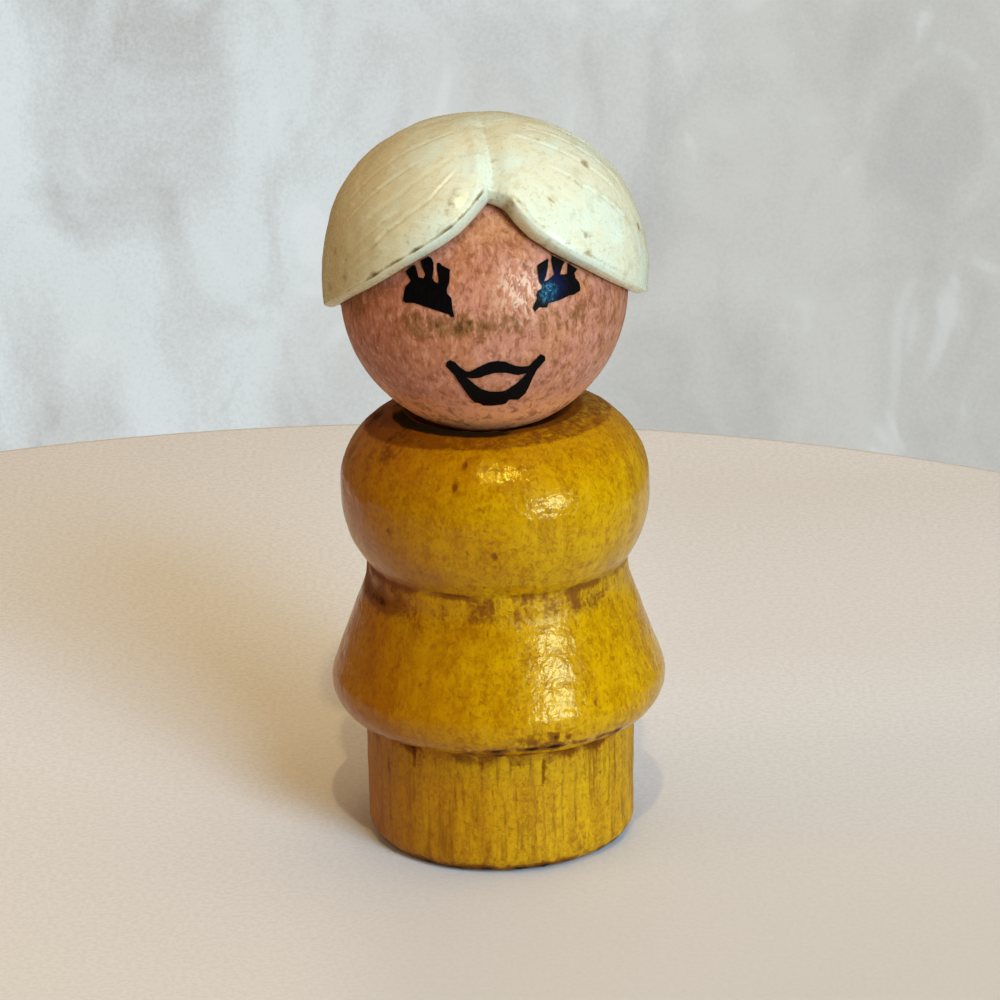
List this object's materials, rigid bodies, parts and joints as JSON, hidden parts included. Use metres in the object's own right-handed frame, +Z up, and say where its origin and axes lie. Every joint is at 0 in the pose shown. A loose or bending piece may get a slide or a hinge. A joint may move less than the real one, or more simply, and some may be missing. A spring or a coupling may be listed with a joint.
{
  "type": "peg doll",
  "caption": "Turned wooden peg doll: skirted body with a round seat peg, and a ball head with a moulded hair cap and printed face that turns on a neck pin.",
  "frame": {"origin": "centre of the foot's flat underside, on the turned body's axis", "axes": "+Z up along the body's axis, -Y out of the face, +X to the right as seen from the front"},
  "size_m": [0.0278, 0.0278, 0.0611],
  "materials": {
    "yellow_lacquer": "turned hardwood under a clear yellow gloss lacquer, worn at the foot and hem",
    "flesh_paint": "turned hardwood ball under a thin flesh paint, rubbed and soiled",
    "pin_steel": "bare steel",
    "hair_plastic": "moulded cream plastic with a soft gloss, scratched and soiled",
    "black_ink": "pad-printed black ink with a satin sheen"
  },
  "bodies": {
    "body": {"turned_body": "yellow_lacquer", "neck_pin": "pin_steel"},
    "head": {"head_ball": "flesh_paint", "hair_cap": "hair_plastic", "left_eye_print": "black_ink", "right_eye_print": "black_ink", "mouth_print": "black_ink"}
  },
  "joints": [
    {"name": "head_turn", "type": "hinge", "parent": "body", "child": "head", "pos_m": [-0.0006, 0, 0.0361], "axis": [0, 0, 1], "continuous": true}
  ]
}
